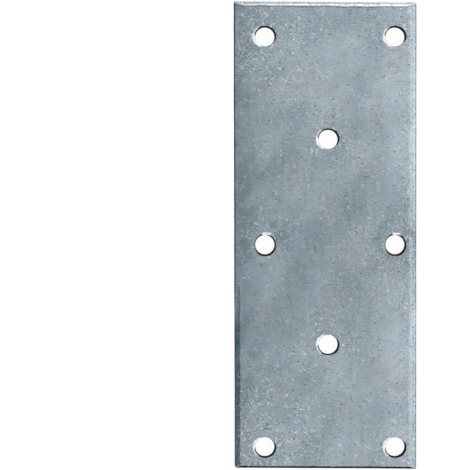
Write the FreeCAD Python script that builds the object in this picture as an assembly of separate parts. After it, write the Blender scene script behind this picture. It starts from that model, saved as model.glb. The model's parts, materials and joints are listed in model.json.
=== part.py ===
import FreeCAD, Part
import math
import os

from FreeCAD import Vector

# A flat mending plate, sheared and punched from zinc coated steel strip. Lengths are millimetres.
# The plate lies on its back face. +Z points out of the front face, +Y towards the top end and
# +X towards the right edge, as seen from the front. The origin is the centre of the back.

# Strip
thickness = 2.5

# Hole pattern: rows of two holes, with a single hole between each two such rows
rows = 5
hole_diameter = 4.7
column_spacing = 32.0
row_pitch = 25.2
middle_row_drop = 0.7  # the third row was punched this far below its even place
centre_hole_shift = 0.45  # the single holes were punched this far left of halfway

# Metal between the outer holes' centres and the edges, which sets the length and width
top_margin = 8.8
bottom_margin = 5.4
left_margin = 7.7
right_margin = 5.3

# Corners of the cut outline
corner_radius = 0.3
worn_corner_radius = 0.8  # at the bottom left

# Sheared edges: the blade draws the front down, cuts clean, then tears the metal away at the back
tear_height = 1.1
tear_depth = 0.12
top_roll_width = 1.3
top_roll_depth = 0.55
top_roll_run_out = 2.8  # from each top corner to where the roll is at full width
pinched_width = 0.6  # of the top roll at the corners
pinched_depth = 0.25
bottom_roll_width = 0.6
bottom_roll_depth = 0.4
right_roll_width = 1.8
right_roll_depth = 0.4
left_roll_width = 0.4
left_roll_depth = 0.3
left_band_width = 1.6  # the left roll is wider near the bottom end
left_band_depth = 0.7
left_band_length = 31.0
left_band_run_out = 5.0
roll_fullness = 0.15  # how far a roll bulges from the straight bevel, as a share of its depth

# Punched holes: a rolled rim, a clean land, and a wider torn mouth at the back
rim_roll_width = 0.6
rim_roll_depth = 0.35
mouth_height = 1.0
mouth_widening = 0.13

# How far the cutting shapes run past what they cut
overrun = 1.0

width = left_margin + column_spacing + right_margin
length = top_margin + (rows - 1) * row_pitch + bottom_margin
left, right = -width / 2, width / 2
bottom, top = -length / 2, length / 2
left_column = left + left_margin
right_column = right - right_margin
up = Vector(0, 0, 1)


def hole_centres():
    """Where the punch went through, from the top row down: a pair, a single hole, a pair and so on."""
    centres = []
    for row in range(rows):
        y = top - top_margin - row * row_pitch
        if row == rows // 2:
            y -= middle_row_drop
        if row % 2:
            centres.append(Vector((left_column + right_column) / 2 - centre_hole_shift, y, 0))
        else:
            centres.append(Vector(left_column, y, 0))
            centres.append(Vector(right_column, y, 0))
    return centres


def outline(inset, z):
    """The cut outline at one height, drawn in by an inset, with an arc at each corner.

    It runs round from the bottom left corner by the bottom edge first.
    """
    corners = [
        (Vector(left + inset, bottom + inset, z), Vector(1, 1, 0), worn_corner_radius),
        (Vector(right - inset, bottom + inset, z), Vector(-1, 1, 0), corner_radius),
        (Vector(right - inset, top - inset, z), Vector(-1, -1, 0), corner_radius),
        (Vector(left + inset, top - inset, z), Vector(1, -1, 0), corner_radius),
    ]
    mid_arc = 1 - math.cos(math.radians(45))  # its distance from the corner, in radii, on each axis
    arcs = []
    for turn, (corner, inward, radius) in enumerate(corners):
        middle = corner + inward * radius * mid_arc
        beside = corner + Vector(inward.x * radius, 0, 0)
        along = corner + Vector(0, inward.y * radius, 0)
        ends = (along, beside) if turn % 2 == 0 else (beside, along)
        arcs.append(Part.Arc(ends[0], middle, ends[1]))
    edges = []
    for number, arc in enumerate(arcs):
        following = arcs[(number + 1) % len(arcs)]
        edges.append(arc.toShape())
        edges.append(Part.LineSegment(arc.EndPoint, following.StartPoint).toShape())
    return Part.Wire(edges)


def sheared_blank():
    """The plate before its holes: a straight clean-cut edge over a torn one that leans in."""
    torn = Part.makeLoft([outline(tear_depth, 0), outline(0, tear_height)], True, True)
    clean = Part.Face(outline(0, tear_height)).extrude(up * (thickness - tear_height))
    return torn.fuse(clean).removeSplitter()


def roll_section(place, inward, roll_width, roll_depth):
    """What a rolled edge lacks beside a square one, as a wire across the edge at one place on it."""
    inner = place + inward * roll_width
    outer = place - up * roll_depth
    slope = (inner - outer).normalize()
    out_of_metal = slope.cross(up).cross(slope).normalize()
    middle = (inner + outer) / 2 + out_of_metal * roll_depth * roll_fullness
    beyond_low = outer - inward * overrun
    beyond_high = place - inward * overrun + up * overrun
    above = inner + up * overrun
    return Part.Wire(
        [
            Part.Arc(inner, middle, outer).toShape(),
            Part.LineSegment(outer, beyond_low).toShape(),
            Part.LineSegment(beyond_low, beyond_high).toShape(),
            Part.LineSegment(beyond_high, above).toShape(),
            Part.LineSegment(above, inner).toShape(),
        ]
    )


def edge_roll(start, along, inward, stations):
    """The waste along one edge, from stations of (distance from the start, width, depth)."""
    sections = []
    for distance, roll_width, roll_depth in stations:
        sections.append(roll_section(start + along * distance, inward, roll_width, roll_depth))
    return Part.makeLoft(sections, True, True)


def edge_rolls():
    """The waste of the four rolled front edges."""
    top_right = Vector(right, top, thickness)
    top_left = Vector(left, top, thickness)
    bottom_left = Vector(left, bottom, thickness)
    full_top = (top_roll_width, top_roll_depth)
    pinched = (pinched_width, pinched_depth)
    top_stations = [
        (-overrun, *pinched),
        (0, *pinched),
        (top_roll_run_out, *full_top),
        (width - top_roll_run_out, *full_top),
        (width, *pinched),
        (width + overrun, *pinched),
    ]
    left_stations = [
        (-overrun, left_band_width, left_band_depth),
        (left_band_length, left_band_width, left_band_depth),
        (left_band_length + left_band_run_out, left_roll_width, left_roll_depth),
        (length + overrun, left_roll_width, left_roll_depth),
    ]
    right_stations = [
        (-overrun, right_roll_width, right_roll_depth),
        (length + overrun, right_roll_width, right_roll_depth),
    ]
    bottom_stations = [
        (-overrun, bottom_roll_width, bottom_roll_depth),
        (width + overrun, bottom_roll_width, bottom_roll_depth),
    ]
    to_right = Vector(1, 0, 0)
    to_top = Vector(0, 1, 0)
    return [
        edge_roll(top_left, to_right, -to_top, top_stations),
        edge_roll(bottom_left, to_right, to_top, bottom_stations),
        edge_roll(bottom_left, to_top, to_right, left_stations),
        edge_roll(top_right, -to_top, -to_right, right_stations),
    ]


def punch():
    """What one stroke of the punch takes away, turned about the Z axis from its half section."""
    radius = hole_diameter / 2
    mouth_radius = radius + mouth_widening
    rim_radius = radius + rim_roll_width
    land_top = thickness - rim_roll_depth
    rim = Part.BezierCurve()
    rim.setPoles(
        [
            Vector(radius, 0, land_top),
            Vector(radius, 0, thickness),
            Vector(rim_radius, 0, thickness),
        ]
    )
    below = [
        Vector(0, 0, -overrun),
        Vector(mouth_radius, 0, -overrun),
        Vector(mouth_radius, 0, 0),
        Vector(radius, 0, mouth_height),
        Vector(radius, 0, land_top),
    ]
    above = [
        Vector(rim_radius, 0, thickness),
        Vector(rim_radius, 0, thickness + overrun),
        Vector(0, 0, thickness + overrun),
        Vector(0, 0, -overrun),
    ]
    edges = [Part.LineSegment(a, b).toShape() for a, b in zip(below, below[1:])]
    edges.append(rim.toShape())
    edges += [Part.LineSegment(a, b).toShape() for a, b in zip(above, above[1:])]
    return Part.Face(Part.Wire(edges)).revolve(Vector(0, 0, 0), up, 360)


def mending_plate():
    """The whole plate: the blank, less the waste at its rolled edges, less its holes."""
    plate = sheared_blank().cut(edge_rolls())
    one_hole = punch()
    return plate.cut([one_hole.translated(centre) for centre in hole_centres()])


os.makedirs("parts", exist_ok=True)
mending_plate().exportStep("parts/mending_plate.step")
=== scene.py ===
import json
import math

import bpy
import numpy as np
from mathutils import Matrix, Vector

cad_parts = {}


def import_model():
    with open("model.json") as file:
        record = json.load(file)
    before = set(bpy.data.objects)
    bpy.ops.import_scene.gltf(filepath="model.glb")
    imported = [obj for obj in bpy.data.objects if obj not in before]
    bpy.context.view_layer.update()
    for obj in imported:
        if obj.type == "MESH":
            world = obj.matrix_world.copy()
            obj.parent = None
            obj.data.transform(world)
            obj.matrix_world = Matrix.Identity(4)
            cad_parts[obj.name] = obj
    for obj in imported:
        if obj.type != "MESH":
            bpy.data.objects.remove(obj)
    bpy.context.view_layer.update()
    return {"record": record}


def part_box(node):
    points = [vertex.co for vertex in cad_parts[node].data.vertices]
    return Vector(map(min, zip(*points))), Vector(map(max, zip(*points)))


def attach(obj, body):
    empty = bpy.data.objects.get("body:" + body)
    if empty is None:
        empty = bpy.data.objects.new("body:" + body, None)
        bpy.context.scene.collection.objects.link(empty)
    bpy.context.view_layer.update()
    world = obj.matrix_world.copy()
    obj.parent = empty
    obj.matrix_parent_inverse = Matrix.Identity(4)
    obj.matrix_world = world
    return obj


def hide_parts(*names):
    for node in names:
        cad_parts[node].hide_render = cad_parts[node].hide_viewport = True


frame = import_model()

# A flat mending plate, sheared and punched from zinc coated steel, which lies on its back. Its mesh
# carries two values at each point, finish with painted light and shade, and wear, and one procedural
# material follows them.
# Lengths are millimetres.
MM = 0.001
NODE = "mending_plate"
SLOT = "zinc_coated_steel"

# The plate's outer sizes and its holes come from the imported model
LEFT, BOTTOM, BACK = [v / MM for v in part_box(NODE)[0]]
RIGHT, TOP, FACE = [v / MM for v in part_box(NODE)[1]]
PATTERNS = [m for m in frame["record"]["mounts"] if m["kind"] == "bolt_pattern"]
HOLE_RADIUS = PATTERNS[0]["dims"]["hole_r_mm"]
SAME_ROW = 1.0  # holes of one row differ by less than this along the plate

# Sheared edges, the same as the solid's or near them. A roll is given as its width and depth.
TEAR_HEIGHT = 1.1
TEAR_DEPTH = 0.12
CLEAN_START = 0.4  # above the torn metal: from there down, the cut has its own finish
TOP_ROLL = (1.2, 0.5)
BOTTOM_ROLL = (0.6, 0.4)
RIGHT_ROLL = (1.8, 0.4)
LEFT_ROLL = (0.4, 0.3)
LEFT_BAND = (1.6, 0.7)
LEFT_BAND_LENGTH = 31.0
LEFT_BAND_RUN_OUT = 14.0
TOP_RUN_OUT = 2.8
PINCHED_SHARE = 0.46  # of the top roll that is left at the corners
TOP_NARROW = 0.96  # of the top roll's width, at its left end
TOP_WIDENING = 0.1  # added to that share at its right end
EVEN_SLOPE = 0.45  # of a roll's depth, while the rest falls ever steeper towards the edge
CORNER_RADIUS = 0.3
WORN_CORNER_RADIUS = 0.8  # at the bottom left

# Punched holes, the same as the solid's or near them
RIM_WIDTH = 0.6
RIM_DEPTH = 0.35
LAND_START = 0.6  # above the torn metal: from there down, a hole's wall has its own finish and painted shade
MOUTH_HEIGHT = 1.0
MOUTH_WIDENING = 0.08

# How far the shears left the outline out of square, and how far in from each edge that reaches
END_DRAW = 0.25
LEFT_DRAW = 0.25
RIGHT_DRAW = 0.08
TOP_REACH = 5.5
BOTTOM_REACH = 2.2
SIDE_REACH = 2.2

# Unevenness. Waves are (height, size of cell, seed) and may stand on a mean level. A reach is how far
# from an edge or a hole they die away.
END_ROLL_WAVES = ((0.1, 4.0, 3), (0.12, 1.3, 4))  # in shares of the roll's width
SIDE_ROLL_WAVES = ((0.1, 5.0, 5), (0.1, 1.5, 6))  # in shares of the roll's width
TOP_UNEVEN = 0.8  # how much of those waves these rolls take
LEFT_UNEVEN = 0.5
LEFT_BAND_UNEVEN = 0.25
FACE_SUNK = 0.02
FACE_WAVES = ((0.012, 13.0, 1), (0.005, 5.0, 2))
OUTLINE_SUNK = 0.03
OUTLINE_WAVES = ((0.015, 6.0, 7), (0.015, 1.7, 8))
OUTLINE_REACH = 1.5
TEAR_WAVES = ((0.4, 0.9, 9),)  # in shares of its depth
TEAR_REACH = 1.5
MOUTH_WAVES = ((0.35, 0.8, 10),)  # in shares of its widening
MOUTH_REACH = 1.0
BACK_SUNK = 0.008
BACK_WAVES = ((0.008, 6.0, 11),)

# The roughness of torn metal, with a seed for each ring from this one on
TORN_ROUGH = 0.025
TORN_CELL = 0.45
TORN_SEED = 20
TORN_REACH = 1.0

# How finely the surface is divided
FINE_STEP = 0.1
FINE_BAND = 1.8  # the width of the finely divided strip along each edge
COARSE_STEP = 0.6
BLOCK_HALF = 3.5  # half the side of the square of mesh round each hole
BLOCK_STEPS = 18  # mesh steps along one side of that square
BLEND_RINGS = 4
RIM_RINGS = 8
RIM_CROWDING = 1.5  # above 1, the rings stand closer together towards the hole
EDGE_TORN_RINGS = 5
HOLE_TORN_RINGS = 4
SHARP_ANGLE = 50.0
NOT_ZERO = 1e-6  # the least length that anything is divided by

# Finish with painted light and shade, as the material reads it: -1 is dark, painted shade and on the
# cuts bare steel too, 0 is plain zinc and 1 is bright, a painted highlight. Each roll has its own, with
# more or less of it in places.
# Painted highlight on the top roll, and painted shade in the crease where it leaves the face
TOP_HIGHLIGHT = 0.22
TOP_HIGHLIGHT_LINE = 0.31  # along a line on the inner half of the top roll
TOP_OUTLINE_HIGHLIGHT = 0.45  # where the top roll meets the cut
TOP_CREASE_SHADE = -0.34  # where the top roll leaves the face
# Painted highlight on the right roll, with painted shade on its outer part and its outline
RIGHT_HIGHLIGHT = 0.3
RIGHT_OUTER_SHADE = -0.15  # on the outer part of the right roll
RIGHT_LINE_LIGHT_AND_SHADE = (0.14, -0.17)  # painted light along a line on that part in the upper half, painted shade in the lower half
RIGHT_OUTLINE_SHADE = -0.58
# Painted shade on the left roll, the left band and the bottom roll
LEFT_SHADE = -0.1
LEFT_OUTLINE_SHADE = -0.64
LEFT_BAND_SHADE = -0.17
LEFT_BAND_INNER_SHADE = -0.18  # where the left band leaves the face
BOTTOM_SHADE = -1.0
BOTTOM_OUTLINE_SHADE = -0.3
# Painted highlight on the holes' rims, and painted shade on their lips
RIM_HIGHLIGHT = 1.3
LIP_SHADE = -1.7
RIM_PATCHES = -0.2  # in patches round the holes halfway along
EDGE_CUT = (-0.12, -0.35)  # on the clean metal, and on the torn metal at the back
# Painted shade on the hole walls, much darker than their bare steel
HOLE_WALL_SHADE = (-1.4, -0.9)

# Painted light and shade on the holes' rims: a ring of painted highlight on one side of each rim, and
# painted shade on the lip where the rim turns down into the hole
HALFWAY_RING = 0.6  # widths at the holes halfway along
HALFWAY_LIP = 0.34
OUTER_ROW_RING = 0.4  # widths at the others
OUTER_ROW_LIP = 0.31
RING_ROUGH = 0.1
LIP_ROUGH = 0.03
RING_BLUR = 0.06
LIP_BLUR = 0.04
FULL_LIP = 0.1  # a lip narrower than this is fainter too
MARKS_REACH = 1.0  # from the hole
RIM_NOISE = (0.7, 13)  # size of cell, seed
PATCH_NOISE = (2.0, 14)

# Wear, as the material reads it: how strongly the zinc's grain and marks show. The face has its own,
# with more or less of it in places.
FACE_WEAR = 0.4
END_WEAR = 0.6  # at the left of both ends
RIGHT_WEAR = 0.08  # on the right half
LEFT_EDGE_WEAR = -0.12
RIGHT_EDGE_WEAR = 0.4
RIGHT_MIDDLE_WEAR = 0.15  # by the right edge halfway along
HOLE_WEAR = 0.3  # round every hole
RIM_WEAR = 0.3  # close round the holes, other than those halfway along
HIDDEN_WEAR = 0.5  # in all, on the back and the cuts

# Colours of the zinc on a screen, from 0 to 255, and how strong the marks in them are
DARK_ZINC = (111, 126, 134)
PALE_ZINC = (178, 190, 199)
WARM_CLOUD = (157, 160, 166)
BLUE_CLOUD = (139, 158, 175)
GREEN_CLOUD = (141, 159, 157)
LIGHT_GRAIN = (186, 197, 205)
DARK_GRAIN = (104, 118, 126)
STROKE = (208, 218, 225)
SPECK = (212, 220, 227)
THREAD = (214, 223, 230)
FLECK = (84, 98, 104)
# A painted highlight, and painted shade that also stands for bare steel at the cuts
HIGHLIGHT_ZINC = (236, 242, 247)
DULL_CUT_AND_SHADE = (66, 104, 106)
BARE_CUT_AND_DEEP_SHADE = (24, 30, 28)
CLOUD_STRENGTH = 0.32
GREEN_STRENGTH = 0.4
GRAIN_STRENGTH = 0.82
FINE_STRENGTH = 0.85
STROKE_STRENGTH = 0.85
SPECK_STRENGTH = 0.62
THREAD_STRENGTH = 0.75
FLECK_STRENGTH = 0.7
BUMP_DEPTH = 0.015

# The photograph's frame: the whole image is this wide at the plate's face
IMAGE_WIDTH = 115.45
IMAGE_CENTRE = (-22.14, -0.02)
CAMERA_HEIGHT = 520.0
SENSOR = 36.0

# The stage
FLOOR_HALF = 3000
FLOOR_GAP = 0.1  # from the plate's back down to the floor
FLOOR_COLOUR = (0.2, 0.2, 0.2, 1)
FLOOR_GLOW = 0.93
FILL = 0.5  # the world's strength on matt surfaces, beside 1 for what sees it directly
CARD_COLOUR = (0.2, 0.25, 0.25, 1)
CARD_CORNERS = [(-110, -150, 0), (-110, 150, 0), (-140, 150, 150), (-140, -150, 150)]


def lattice_noise(x, y, cell, seed):
    """Smooth noise from -1 to 1 over the plate, from one random value at each corner of its cells."""
    rng = np.random.default_rng(seed)
    columns = int((RIGHT - LEFT) / cell) + 4
    rows = int((TOP - BOTTOM) / cell) + 4
    values = rng.uniform(-1, 1, (columns, rows))
    u = (x - LEFT) / cell + 1
    v = (y - BOTTOM) / cell + 1
    i = np.clip(np.floor(u).astype(int), 0, columns - 2)
    j = np.clip(np.floor(v).astype(int), 0, rows - 2)
    fu = smooth(u - i)
    fv = smooth(v - j)
    low = values[i, j] * (1 - fu) + values[i + 1, j] * fu
    high = values[i, j + 1] * (1 - fu) + values[i + 1, j + 1] * fu
    return low * (1 - fv) + high * fv


def uneven(x, y, level, waves):
    """A level with smooth noise on it, from waves of (height, size of cell, seed)."""
    return sum((height * lattice_noise(x, y, cell, seed) for height, cell, seed in waves), level)


def smooth(share):
    """Eases a share between 0 and 1."""
    share = np.clip(share, 0, 1)
    return share * share * (3 - 2 * share)


def ramp(value, start, end):
    """0 at the start, 1 at the end and eased between them, either way round."""
    return smooth((value - start) / (end - start))


def hump(value, start, full, fading, end):
    """1 from full to fading, 0 before the start and past the end, and eased between them."""
    return ramp(value, end, fading) * ramp(value, start, full)


def near(distance, reach):
    """1 at no distance, falling evenly to 0 at the reach."""
    return np.clip(1 - distance / reach, 0, 1)


def hole_centres():
    """The centre of every hole, from the record's bolt patterns."""
    centres = set()
    for pattern in PATTERNS:
        x, y = pattern["pos_m"][0] / MM, pattern["pos_m"][1] / MM
        across = pattern["dims"].get("spacing_x_mm", 0) / 2
        along = pattern["dims"].get("spacing_y_mm", 0) / 2
        centres |= {(x + i * across, y + j * along) for i in (-1, 1) for j in (-1, 1)}
    return sorted(centres)


def grid_lines(low, high, centres):
    """Grid positions across the plate: fine by both edges, even through each hole's block."""
    stops = [(low + FINE_BAND, FINE_STEP)]
    for centre in sorted(set(centres)):
        stops.append((centre - BLOCK_HALF, COARSE_STEP))
        stops.append((centre + BLOCK_HALF, 2 * BLOCK_HALF / BLOCK_STEPS))
    stops.append((high - FINE_BAND, COARSE_STEP))
    stops.append((high, FINE_STEP))
    lines = [low]
    for end, step in stops:
        start = lines[-1]
        if end - start > FINE_STEP / 2:
            lines += list(np.linspace(start, end, max(1, round((end - start) / step)) + 1)[1:])
    return np.array(lines)


def plan_of_plate(centres):
    """The plate seen flat, as points, quads, the outer loop and one loop for each hole."""
    xs = grid_lines(LEFT, RIGHT, [x for x, _ in centres])
    ys = grid_lines(BOTTOM, TOP, [y for _, y in centres])
    starts = []
    in_block = np.zeros((len(xs) - 1, len(ys) - 1), bool)
    in_middle = np.zeros((len(xs), len(ys)), bool)
    for x, y in centres:
        i = int(np.argmin(abs(xs - (x - BLOCK_HALF))))
        j = int(np.argmin(abs(ys - (y - BLOCK_HALF))))
        starts.append((i, j))
        in_block[i : i + BLOCK_STEPS, j : j + BLOCK_STEPS] = True
        in_middle[i + 1 : i + BLOCK_STEPS, j + 1 : j + BLOCK_STEPS] = True
    numbers = np.where(in_middle, -1, np.cumsum(~in_middle).reshape(in_middle.shape) - 1)
    points = [(xs[i], ys[j]) for i, j in np.argwhere(~in_middle)]
    quads = []
    for i, j in np.argwhere(~in_block):
        quads.append((numbers[i, j], numbers[i + 1, j], numbers[i + 1, j + 1], numbers[i, j + 1]))
    loops = []
    for (i, j), centre in zip(starts, centres):
        block = numbers[i : i + BLOCK_STEPS + 1, j : j + BLOCK_STEPS + 1]
        loops.append(add_rings(points, quads, border(block), centre))
    return np.array(points), quads, border(numbers), loops


def border(numbers):
    """The numbers round the outside of a block of them, anticlockwise from its lowest corner."""
    return [*numbers[:-1, 0], *numbers[-1, :-1], *numbers[:0:-1, -1], *numbers[0, :0:-1]]


def add_rings(points, quads, outside, centre):
    """Fills the block round a hole with rings, from its square border in to the hole's own loop."""
    square = np.array([points[k] for k in outside]) - centre
    way = square / np.linalg.norm(square, axis=1)[:, None]
    shares = [(1 - k / RIM_RINGS) ** RIM_CROWDING for k in range(RIM_RINGS + 1)]
    rim = [HOLE_RADIUS + RIM_WIDTH * share for share in shares]
    rings = []
    for k in range(BLEND_RINGS, 0, -1):
        share = k / (BLEND_RINGS + 1)
        rings.append(way * rim[0] * (1 - share) + square * share)
    rings += [way * radius for radius in rim]
    for ring in rings:
        inside = list(range(len(points), len(points) + len(ring)))
        points.extend(tuple(point) for point in ring + centre)
        for k in range(len(ring)):
            following = (k + 1) % len(ring)
            quads.append((outside[k], outside[following], inside[following], inside[k]))
        outside = inside
    return outside


def rounded_corners(x, y):
    """Pulls the square corners of the plan in to arcs."""
    for side_x, sx in ((LEFT, 1), (RIGHT, -1)):
        for side_y, sy in ((BOTTOM, 1), (TOP, -1)):
            worn = side_x == LEFT and side_y == BOTTOM
            radius = WORN_CORNER_RADIUS if worn else CORNER_RADIUS
            a = radius - sx * (x - side_x)
            b = radius - sy * (y - side_y)
            in_corner = (a > 0) & (b > 0)
            scale = np.maximum(a, b) / np.where(in_corner, np.hypot(a, b), 1)
            x = np.where(in_corner, side_x + sx * (radius - a * scale), x)
            y = np.where(in_corner, side_y + sy * (radius - b * scale), y)
    return x, y


def edge_rolls(x, y):
    """For each edge, the distance from it, and the width and depth of its roll, at every point."""
    uneven_end = uneven(x, y, 0, END_ROLL_WAVES)
    uneven_side = uneven(x, y, 0, SIDE_ROLL_WAVES)
    from_corner = np.minimum(x - LEFT, RIGHT - x)
    full = PINCHED_SHARE + (1 - PINCHED_SHARE) * ramp(from_corner, 0, TOP_RUN_OUT)
    widening = TOP_NARROW + TOP_WIDENING * (x - LEFT) / (RIGHT - LEFT)
    top_width = TOP_ROLL[0] * full * widening * (1 + TOP_UNEVEN * uneven_end)
    left_width = LEFT_ROLL[0] * (1 + LEFT_UNEVEN * uneven_side)
    band_width = LEFT_BAND[0] * (1 + LEFT_BAND_UNEVEN * uneven_side)
    band_end = BOTTOM + LEFT_BAND_LENGTH
    band = ramp(y, band_end + LEFT_BAND_RUN_OUT, band_end)
    return {
        "top": (TOP - y, top_width, TOP_ROLL[1] * full),
        "bottom": (y - BOTTOM, BOTTOM_ROLL[0] * (1 + uneven_end), BOTTOM_ROLL[1]),
        "right": (RIGHT - x, RIGHT_ROLL[0] * (1 + uneven_side), RIGHT_ROLL[1]),
        "left": (x - LEFT, left_width, LEFT_ROLL[1]),
        "left band": (x - LEFT, band_width, LEFT_BAND[1] * band),
    }


def roll_drop(distance, width, depth):
    """How far a rolled edge has sunk at a distance from the edge, ever steeper from its crease out."""
    share = near(distance, width)
    return depth * (EVEN_SLOPE * share + (1 - EVEN_SLOPE) * share**2)


def finish_of_rolls(rolls, y):
    """The painted light and shade on each roll, by the distance from its edge or that distance's share
    of its width.
    """
    share = {name: distance / width for name, (distance, width, _) in rolls.items()}
    top = TOP_HIGHLIGHT + TOP_HIGHLIGHT_LINE * hump(share["top"], 0.45, 0.6, 0.85, 0.98)
    top = top + TOP_OUTLINE_HIGHLIGHT * ramp(share["top"], 0.25, 0.08)
    from_right = rolls["right"][0]
    upper = ramp(y, -6.0, 8.0)
    right_line = RIGHT_LINE_LIGHT_AND_SHADE[0] * upper + RIGHT_LINE_LIGHT_AND_SHADE[1] * (1 - upper)
    right = RIGHT_HIGHLIGHT + RIGHT_OUTER_SHADE * ramp(from_right, 1.2, 1.0)
    right = right + right_line * hump(from_right, 0.4, 0.55, 0.75, 1.0)
    right = right + RIGHT_OUTLINE_SHADE * ramp(from_right, 0.4, 0.15)
    left = LEFT_SHADE + LEFT_OUTLINE_SHADE * ramp(rolls["left"][0], 0.45, 0.3)
    band = LEFT_BAND_SHADE + LEFT_BAND_INNER_SHADE * ramp(share["left band"], 0.3, 0.9)
    bottom = BOTTOM_SHADE + BOTTOM_OUTLINE_SHADE * ramp(rolls["bottom"][0], 0.4, 0.25)
    return {"top": top, "bottom": bottom, "right": right, "left": left, "left band": band}


def face_form(x, y):
    """How far the face has sunk at each point, and the painted light and shade there, from the rolled
    edges.
    """
    rolls = edge_rolls(x, y)
    finishes = finish_of_rolls(rolls, y)
    finish = np.zeros_like(x)
    deepest = np.zeros_like(x)
    for name, roll in rolls.items():
        sunk = roll_drop(*roll)
        finish = np.where(sunk > deepest, finishes[name], finish)
        deepest = np.maximum(deepest, sunk)
    distance, width, depth = rolls["left band"]
    band = finishes["left band"] * depth / LEFT_BAND[1]
    finish = np.where(distance < width, np.minimum(finish, band), finish)
    distance, width, _ = rolls["top"]
    finish = np.where(distance < width, np.maximum(finish, finishes["top"]), finish)
    crease = hump(distance, width - 0.1, width, width + 0.1, width + 0.5)
    return uneven(x, y, FACE_SUNK, FACE_WAVES) + deepest, finish + TOP_CREASE_SHADE * crease


def towards(across, up, degrees, start, full):
    """0 to 1 as a unit vector nears an angle, anticlockwise from the right, between two cosines."""
    cosine = across * math.cos(math.radians(degrees)) + up * math.sin(math.radians(degrees))
    return ramp(cosine, start, full)


def halfway_rim(across, up):
    """How far the rim of a hole halfway along takes a painted highlight each way, and how wide its ring
    of highlight and its lip of painted shade are.
    """
    lit_side = towards(across, up, 82, 0.88, 0.98)
    lip_width = HALFWAY_LIP + 0.14 * towards(across, up, -75, 0.3, 0.8)
    lip_width = lip_width * (1 - 0.45 * towards(across, up, 172, 0.5, 0.9))
    lip_width = lip_width * (1 - 0.4 * lit_side) * towards(across, up, 90, 0.995, 0.95)
    return lit_side, HALFWAY_RING, lip_width


def outer_row_rim(across, up):
    """The same for a hole above the middle, with its painted highlight on its left and lower left."""
    beside = towards(across, up, 170, 0.62, 0.82)
    lit_side = np.maximum(towards(across, up, -155, 0.66, 0.9), 0.5 * beside)
    ring_width = OUTER_ROW_RING + 0.28 * beside
    lip_width = OUTER_ROW_LIP + 0.13 * towards(across, up, 20, 0.7, 0.92)
    lip_width = lip_width * towards(across, up, 50, 0.0, 0.38)
    lip_width = np.maximum(lip_width, 0.23 * towards(across, up, 145, 0.76, 0.92))
    return lit_side, ring_width, lip_width


def rim_form(x, y, centres):
    """How far the rolled rims of the holes have sunk, and the painted light and shade on them."""
    drop = np.zeros_like(x)
    finish = np.zeros_like(x)
    rough = lattice_noise(x, y, *RIM_NOISE)
    middle = np.median([cy for _, cy in centres])
    for cx, cy in centres:
        radius = np.maximum(np.hypot(x - cx, y - cy), NOT_ZERO)
        across, up = (x - cx) / radius, (y - cy) / radius
        out = radius - HOLE_RADIUS
        sunk = RIM_DEPTH * (1 - np.sqrt(np.clip(out / RIM_WIDTH, 0, 1))) ** 2
        drop = np.maximum(drop, sunk)
        if abs(cy - middle) < SAME_ROW:
            lit_side, ring_width, lip_width = halfway_rim(across, up)
            patches = ramp(lattice_noise(x, y, *PATCH_NOISE), 0.05, 0.55)
            finish = finish + RIM_PATCHES * patches * hump(out, 0.7, 1.2, 3.0, 5.0)
        else:
            # The lower holes take the upper holes' painted highlight and shade mirrored top to bottom
            mirrored = up if cy > middle else -up
            lit_side, ring_width, lip_width = outer_row_rim(across, mirrored)
        lip_width = lip_width + LIP_ROUGH * rough
        ring_width = ring_width + RING_ROUGH * rough
        lip = ramp(out, lip_width + LIP_BLUR, lip_width - LIP_BLUR)
        lip = lip * np.clip(lip_width / FULL_LIP, 0, 1)
        ring = ramp(out, ring_width + RING_BLUR, ring_width - RING_BLUR) * (1 - lip)
        # Painted highlight in the ring and painted shade on the lip
        marks = RIM_HIGHLIGHT * lit_side * ring + LIP_SHADE * lip
        finish = np.where(out < MARKS_REACH, finish + marks, finish)
    return drop, finish


def wear_form(x, y, centres):
    """How worn the face is at each point: most at both ends' left, by the right edge and by holes."""
    from_middle = abs(y)
    wear = FACE_WEAR + END_WEAR * ramp(from_middle, 24.0, 46.0) * ramp(x, 8.0, -12.0)
    wear = wear + RIGHT_WEAR * ramp(x, -4.0, 8.0) + LEFT_EDGE_WEAR * ramp(x, -14.0, -18.0)
    right_edge = RIGHT_EDGE_WEAR + RIGHT_MIDDLE_WEAR * ramp(from_middle, 30.0, 15.0)
    wear = wear + right_edge * ramp(x, 16.5, 20.0)
    nearest = np.min([np.hypot(x - cx, y - cy) for cx, cy in centres], axis=0)
    wear = wear + HOLE_WEAR * ramp(nearest, 11.0, 4.0)
    return wear + RIM_WEAR * ramp(nearest, 8.0, 3.5) * ramp(from_middle, 6.0, 18.0)


def out_of_square(x, y):
    """Draws the cut edges in, each by the most at one of its ends."""
    across = (x - LEFT) / (RIGHT - LEFT)
    down = (TOP - y) / (TOP - BOTTOM)
    moved_x = LEFT_DRAW * down * near(x - LEFT, SIDE_REACH)
    moved_x = moved_x - RIGHT_DRAW * down * near(RIGHT - x, SIDE_REACH)
    moved_y = END_DRAW * (1 - across) * near(y - BOTTOM, BOTTOM_REACH)
    moved_y = moved_y - END_DRAW * across * near(TOP - y, TOP_REACH)
    return x + moved_x, y + moved_y


def moved_in(x, y, amount, reach):
    """Points moved in from the sides near them, by an amount that dies away over a reach."""
    from_x = near(x - LEFT, reach) - near(RIGHT - x, reach)
    from_y = near(y - BOTTOM, reach) - near(TOP - y, reach)
    return x + amount * from_x, y + amount * from_y


def moved_out(x, y, centres, amount, reach):
    """Points moved away from the holes near them, by an amount that dies away over a reach."""
    for cx, cy in centres:
        radius = np.maximum(np.hypot(x - cx, y - cy), NOT_ZERO)
        push = amount * near(radius - HOLE_RADIUS, reach) / radius
        x, y = x + (x - cx) * push, y + (y - cy) * push
    return x, y


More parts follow.
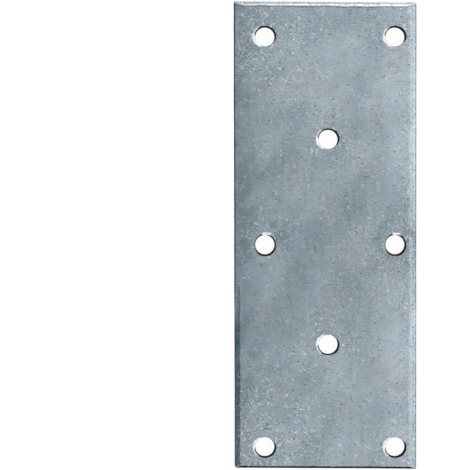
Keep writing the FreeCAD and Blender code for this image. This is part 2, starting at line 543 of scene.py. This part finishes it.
class Shell:
    """The points and quads of a closed mesh while it is built, with each point's finish and painted
    shading, and its wear.
    """

    def __init__(self):
        self.points = []
        self.finish = []
        self.wear = []
        self.quads = []

    def add(self, x, y, z, finish, wear=HIDDEN_WEAR):
        """Adds points and gives their numbers."""
        first = len(self.points)
        z = np.broadcast_to(z, x.shape)
        self.points += np.column_stack([x, y, z]).tolist()
        self.finish += np.broadcast_to(finish, x.shape).tolist()
        self.wear += np.broadcast_to(wear, x.shape).tolist()
        return np.arange(first, len(self.points))

    def join(self, above, below):
        """Adds the quads between two loops, one below the other."""
        for k in range(len(above)):
            following = (k + 1) % len(above)
            self.quads.append((above[k], below[k], below[following], above[following]))

    def mesh(self):
        """The mesh in metres, smooth but for its sharp edges, with its values at each point."""
        mesh = bpy.data.meshes.new("plate")
        mesh.from_pydata((np.array(self.points) * MM).tolist(), [], self.quads)
        mesh.attributes.new("finish", "FLOAT", "POINT").data.foreach_set("value", self.finish)
        mesh.attributes.new("wear", "FLOAT", "POINT").data.foreach_set("value", self.wear)
        mesh.shade_smooth()
        mesh.set_sharp_from_angle(angle=math.radians(SHARP_ANGLE))
        return mesh


def torn_levels(torn_height, rings):
    """Heights down the torn metal, each with its share of the way from the face to the back."""
    return [(torn_height * (1 - k / rings), k / rings) for k in range(rings)]


def add_wall(shell, face_loop, back_loop, levels, finish):
    """The cut metal between the face and the back, through rings at (height, share of the way back).

    Its finish and painted shade go from the clean metal's to the torn metal's on the way.
    """
    clean, torn = finish
    points = np.array(shell.points)
    upper, lower = points[face_loop], points[back_loop]
    above = face_loop
    for number, (height, share) in enumerate(levels):
        x, y = (upper * (1 - share) + lower * share)[:, :2].T
        rough = TORN_ROUGH * share * lattice_noise(x, y, TORN_CELL, TORN_SEED + number)
        ring_finish = clean + (torn - clean) * math.sqrt(share)
        ring = shell.add(*moved_in(x, y, abs(rough), TORN_REACH), height, ring_finish)
        shell.join(above, ring)
        above = ring
    shell.join(above, back_loop)


def plate_mesh():
    """The plate as one closed mesh: its face, back, cut edges and hole walls, with their unevenness."""
    centres = hole_centres()
    plan, quads, outer, hole_loops = plan_of_plate(centres)
    x, y = rounded_corners(plan[:, 0], plan[:, 1])
    x, y = moved_in(x, y, uneven(x, y, OUTLINE_SUNK, OUTLINE_WAVES), OUTLINE_REACH)
    drop, finish = face_form(x, y)
    rim_drop, rim_finish = rim_form(x, y, centres)
    wear = wear_form(x, y, centres)
    shell = Shell()
    face = shell.add(*out_of_square(x, y), FACE - drop - rim_drop, finish + rim_finish, wear)

    tear = TEAR_DEPTH * uneven(x, y, 1, TEAR_WAVES)
    back_x, back_y = moved_in(x, y, tear, TEAR_REACH)
    mouth = MOUTH_WIDENING * uneven(x, y, 1, MOUTH_WAVES)
    back_x, back_y = moved_out(back_x, back_y, centres, mouth, MOUTH_REACH)
    back_z = uneven(x, y, BACK + BACK_SUNK, BACK_WAVES)
    back = shell.add(*out_of_square(back_x, back_y), back_z, 0.0)

    shell.quads += [tuple(face[k] for k in quad) for quad in quads]
    shell.quads += [tuple(back[k] for k in reversed(quad)) for quad in quads]
    levels = [(TEAR_HEIGHT + CLEAN_START, 0.0), *torn_levels(TEAR_HEIGHT, EDGE_TORN_RINGS)]
    add_wall(shell, face[outer], back[outer], levels, EDGE_CUT)
    levels = [(MOUTH_HEIGHT + LAND_START, 0.0), *torn_levels(MOUTH_HEIGHT, HOLE_TORN_RINGS)]
    for loop in hole_loops:
        inward = loop[::-1]
        add_wall(shell, face[inward], back[inward], levels, HOLE_WALL_SHADE)
    return shell.mesh()


class Graph:
    """Short calls for the nodes of one material or world."""

    def __init__(self, owner):
        owner.use_nodes = True
        self.tree = owner.node_tree
        self.tree.nodes.clear()

    def node(self, kind, inputs=None, **settings):
        """A node with its settings, and its inputs linked or set."""
        made = self.tree.nodes.new("ShaderNode" + kind)
        for name, value in settings.items():
            setattr(made, name, value)
        for name, value in (inputs or {}).items():
            if isinstance(value, bpy.types.NodeSocket):
                self.tree.links.new(value, made.inputs[name])
            else:
                made.inputs[name].default_value = value
        return made

    def attribute(self, name):
        """A value that the mesh carries at each point."""
        return self.node("Attribute", attribute_name=name).outputs["Fac"]

    def math(self, operation, a, b=0.0):
        """One operation on one or two values."""
        return self.node("Math", {0: a, 1: b}, operation=operation).outputs[0]

    def total(self, values):
        """The sum of several values."""
        result = values[0]
        for value in values[1:]:
            result = self.math("ADD", result, value)
        return result

    def noise(self, place, scale, detail=2.0, roughness=0.5, warp=0.0):
        """Noise of about 0 to 1, with this many waves to the millimetre."""
        inputs = {"Vector": place, "Scale": scale, "Detail": detail, "Roughness": roughness}
        inputs["Distortion"] = warp
        return self.node("TexNoise", inputs).outputs["Fac"]

    def cells(self, place, scale):
        """The distance from the nearest of many points scattered in plan, so many to the millimetre."""
        cells = self.node("TexVoronoi", {"Vector": place, "Scale": scale}, voronoi_dimensions="2D")
        return cells.outputs["Distance"]

    def remap(self, value, low, high, new_low=0.0, new_high=1.0):
        """A value eased from one range to another."""
        inputs = {"Value": value, "From Min": low, "From Max": high}
        inputs.update({"To Min": new_low, "To Max": new_high})
        return self.node("MapRange", inputs, interpolation_type="SMOOTHSTEP").outputs["Result"]

    def swing(self, noise, height):
        """Noise made to swing about 0, by a height either way."""
        return self.remap(noise, 0.3, 0.7, -height, height)

    def mix(self, share, a, b):
        """A colour between two others."""
        colours = self.node("Mix", {0: share, 6: a, 7: b}, data_type="RGBA")
        return colours.outputs[2]

    def placed(self, place, scale, turn=0.0):
        """Coordinates turned by some degrees, then stretched by a scale along each axis."""
        turned = self.node("Mapping", {"Vector": place, "Rotation": (0, 0, math.radians(turn))})
        return self.node("Mapping", {"Vector": turned.outputs[0], "Scale": scale}).outputs[0]


def linear(colour):
    """A screen colour of 0 to 255 as the linear colour that a shader takes."""
    values = []
    for value in colour:
        v = value / 255
        values.append(v / 12.92 if v <= 0.04045 else ((v + 0.055) / 1.055) ** 2.4)
    return (*values, 1.0)


def sheet_lightness(g, place):
    """How far the zinc is from its dark to its pale tone: less at the left edge and halfway along. Its
    broad slopes are partly the zinc's own tone and partly painted light and shade, lighter towards the
    lamps on the right.
    """
    across, along, _ = g.node("SeparateXYZ", {0: place}).outputs
    # Partly painted light: lighter towards the right and by the right edge
    to_right = g.remap(across, LEFT, RIGHT, 0.15, 0.43)
    to_right = g.math("ADD", to_right, g.remap(across, RIGHT - 10.0, RIGHT - 4.5, 0.0, 0.25))
    off_middle = g.remap(g.math("ABSOLUTE", along), 0.0, 30.0)
    sweeps = g.noise(g.placed(place, (0.7, 1.3, 1.0), -45.0), 0.08, 1.0, 0.5, 0.3)
    streaks = g.noise(g.placed(place, (1.0, 0.1, 1.0)), 1.0, 2.0)
    fibres = g.noise(g.placed(place, (1.0, 0.3, 1.0)), 2.5, 2.0)
    by_right_edge = g.remap(across, RIGHT - 5.0, RIGHT - 2.0)
    parts = [
        # Partly painted shade: darker halfway along and at the left edge
        g.math("MULTIPLY", off_middle, to_right),
        g.remap(across, LEFT, LEFT + 8.5, -0.06, 0.31),
        g.swing(sweeps, 0.18),
        g.swing(g.noise(place, 0.3), 0.05),
        g.swing(streaks, 0.055),
        g.math("MULTIPLY", g.swing(fibres, 0.2), by_right_edge),
    ]
    return g.total(parts)


def sheet_colour(g, place):
    """The zinc's colour without its marks: its broad tone, partly painted light and shade, with faint
    tinted clouds.
    """
    colour = g.mix(sheet_lightness(g, place), linear(DARK_ZINC), linear(PALE_ZINC))
    clouds = g.noise(place, 0.17)
    green = g.remap(g.noise(place, 0.21), 0.45, 0.27, 0.0, GREEN_STRENGTH)
    colour = g.mix(g.remap(clouds, 0.5, 0.68, 0.0, CLOUD_STRENGTH), colour, linear(WARM_CLOUD))
    colour = g.mix(g.remap(clouds, 0.5, 0.32, 0.0, CLOUD_STRENGTH), colour, linear(BLUE_CLOUD))
    return g.mix(green, colour, linear(GREEN_CLOUD))


def marked(g, place, colour, grain, fine):
    """A colour with grain, scratches, specks and threads laid on it, as strongly as it is worn."""
    busy = g.remap(g.noise(place, 0.2), 0.35, 0.65, 0.65, 1.35)
    busy = g.math("MULTIPLY", g.attribute("wear"), busy)
    broken = g.remap(g.noise(place, 0.8, 2.0), 0.52, 0.64)
    strokes = g.noise(g.placed(place, (0.45, 2.4, 1.0), 40.0), 1.0, 1.0)
    specks = g.remap(g.cells(place, 0.65), 0.11, 0.045, 0.0, SPECK_STRENGTH)
    from_level = g.math("SUBTRACT", g.noise(place, 0.75, 1.0, 0.5, 1.2), 0.5)
    threads = g.remap(g.math("ABSOLUTE", from_level), 0.04, 0.012, 0.0, THREAD_STRENGTH)
    marks = [
        (g.remap(grain, 0.5, 0.8, 0.0, GRAIN_STRENGTH), LIGHT_GRAIN),
        (g.remap(grain, 0.48, 0.2, 0.0, GRAIN_STRENGTH), DARK_GRAIN),
        (g.remap(fine, 0.52, 0.77, 0.0, FINE_STRENGTH), LIGHT_GRAIN),
        (g.remap(fine, 0.48, 0.23, 0.0, FINE_STRENGTH), DARK_GRAIN),
        (g.remap(strokes, 0.69, 0.76, 0.0, STROKE_STRENGTH), STROKE),
        (g.math("MULTIPLY", specks, broken), SPECK),
        (g.math("MULTIPLY", threads, broken), THREAD),
    ]
    for mask, tone in marks:
        colour = g.mix(g.math("MULTIPLY", mask, busy), colour, linear(tone))
    return colour


def zinc_material():
    """Zinc on steel: clouded blue grey with grain, bright marks and dark flecks, with painted
    highlights and painted shade on its rolled edges and rims, and dark at its cuts, where painted shade
    lies on bare steel.
    """
    material = bpy.data.materials.new(SLOT)
    g = Graph(material)
    place = g.placed(g.node("TexCoord").outputs["Object"], (1 / MM, 1 / MM, 1 / MM))
    grain = g.noise(g.placed(place, (0.75, 1.3, 1.0), 15.0), 2.2, 2.0, 0.7, 0.8)
    fine = g.noise(g.placed(place, (1.0, 1.3, 1.0), -25.0), 2.9, 1.0, 0.5, 0.3)
    flecks = g.cells(g.placed(place, (0.45, 1.0, 1.0), 4.0), 0.6)
    flecks = g.remap(flecks, 0.12, 0.05, 0.0, FLECK_STRENGTH)
    flecks = g.math("MULTIPLY", flecks, g.remap(g.noise(place, 0.5), 0.4, 0.6))
    frayed = g.remap(g.noise(place, 1.4, 2.0, 0.6), 0.3, 0.7, 0.6, 1.35)
    finish = g.math("MULTIPLY", g.attribute("finish"), frayed)
    # Above 0 the mesh's value is a painted highlight, below 0 painted shade, on bare steel at the cuts
    bright = g.remap(finish, 0.0, 1.0)
    dark = g.remap(finish, 0.0, -1.0)

    colour = marked(g, place, sheet_colour(g, place), grain, fine)
    colour = g.mix(flecks, colour, linear(FLECK))
    colour = g.mix(bright, colour, linear(HIGHLIGHT_ZINC))
    colour = g.mix(g.remap(finish, 0.0, -0.6), colour, linear(DULL_CUT_AND_SHADE))
    colour = g.mix(g.remap(finish, -0.5, -1.2), colour, linear(BARE_CUT_AND_DEEP_SHADE))

    height = g.math("ADD", g.math("MULTIPLY", grain, 0.6), g.math("MULTIPLY", fine, 0.35))
    height = g.math("SUBTRACT", height, g.math("MULTIPLY", flecks, 0.3))
    bump = g.node("Bump", {"Height": height, "Strength": 1.0, "Distance": BUMP_DEPTH * MM})

    rough = g.remap(grain, 0.3, 0.7, 0.44, 0.36)
    rough = g.math("SUBTRACT", rough, g.math("MULTIPLY", bright, 0.1))
    rough = g.math("ADD", rough, g.math("MULTIPLY", dark, 0.6))
    metal = g.remap(dark, 0.3, 0.8, 0.9, 0.0)
    inputs = {"Base Color": colour, "Roughness": rough, "Normal": bump.outputs[0], "Metallic": metal}
    g.node("OutputMaterial", {"Surface": g.node("BsdfPrincipled", inputs).outputs[0]})
    return material


def plate():
    """The finished plate, in place of its plain solid."""
    made = bpy.data.objects.new("plate", plate_mesh())
    bpy.context.scene.collection.objects.link(made)
    made.data.materials.append(zinc_material())
    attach(made, "root")
    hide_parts(NODE)


def camera():
    """Looks straight down on the plate, which stands right of the middle of the image."""
    data = bpy.data.cameras.new("camera")
    data.sensor_width = SENSOR
    data.lens = SENSOR * CAMERA_HEIGHT / IMAGE_WIDTH
    made = bpy.data.objects.new("camera", data)
    made.location = (IMAGE_CENTRE[0] * MM, IMAGE_CENTRE[1] * MM, (FACE + CAMERA_HEIGHT) * MM)
    bpy.context.scene.collection.objects.link(made)
    bpy.context.scene.camera = made


def lamp(name, place, size, power):
    """A soft square lamp of some watts, aimed at the middle of the plate."""
    data = bpy.data.lights.new(name, "AREA")
    data.size = size * MM
    data.energy = power
    made = bpy.data.objects.new(name, data)
    made.location = Vector(place) * MM
    made.rotation_euler = (-made.location).to_track_quat("-Z", "Y").to_euler()
    made.visible_camera = False
    bpy.context.scene.collection.objects.link(made)


def seen_directly(g):
    """1 for what the camera sees, itself or in metal, and 0 for what only lights a matt surface."""
    path = g.node("LightPath").outputs
    seen = g.math("MAXIMUM", path["Is Camera Ray"], path["Is Glossy Ray"])
    return g.math("MAXIMUM", seen, path["Is Transmission Ray"])


def stage_sheet(name, corners):
    """A flat sheet of the stage, with nodes still to be given."""
    mesh = bpy.data.meshes.new(name)
    mesh.from_pydata([Vector(corner) * MM for corner in corners], [], [range(len(corners))])
    made = bpy.data.objects.new(name, mesh)
    bpy.context.scene.collection.objects.link(made)
    mesh.materials.append(bpy.data.materials.new(name))
    return made, Graph(mesh.materials[0])


def floor():
    """A pale floor that reads as white, and keeps the plate's shadow."""
    square = ((-1, -1), (1, -1), (1, 1), (-1, 1))
    _, g = stage_sheet("floor", [(i * FLOOR_HALF, j * FLOOR_HALF, -FLOOR_GAP) for i, j in square])
    matt = g.node("BsdfDiffuse", {"Color": FLOOR_COLOUR}).outputs[0]
    strength = g.math("MULTIPLY", seen_directly(g), FLOOR_GLOW)
    glow = g.node("Emission", {"Strength": strength}).outputs[0]
    g.node("OutputMaterial", {"Surface": g.node("AddShader", {0: matt, 1: glow}).outputs[0]})


def dark_card(name, corners):
    """A dark card beside the plate, which only the metal sees."""
    made, g = stage_sheet(name, corners)
    g.node("OutputMaterial", {"Surface": g.node("Emission", {"Color": CARD_COLOUR}).outputs[0]})
    made.visible_camera = False
    made.visible_diffuse = False
    made.visible_shadow = False


def world():
    """White for the camera and the metal, and dimmer as the light on matt surfaces."""
    made = bpy.data.worlds.new("world")
    bpy.context.scene.world = made
    g = Graph(made)
    strength = g.remap(seen_directly(g), 0.0, 1.0, FILL, 1.0)
    back = g.node("Background", {"Color": (1, 1, 1, 1), "Strength": strength}).outputs[0]
    g.node("OutputWorld", {"Surface": back})


def studio():
    """Lamps above and to the right, and a dark card to the left."""
    world()
    floor()
    lamp("upper_lamp", place=(60, 215, 175), size=110, power=0.05)
    lamp("right_lamp", place=(230, 0, 150), size=130, power=0.1)
    dark_card("left_card", CARD_CORNERS)
    bpy.context.scene.view_settings.view_transform = "Standard"


camera()
studio()
plate()
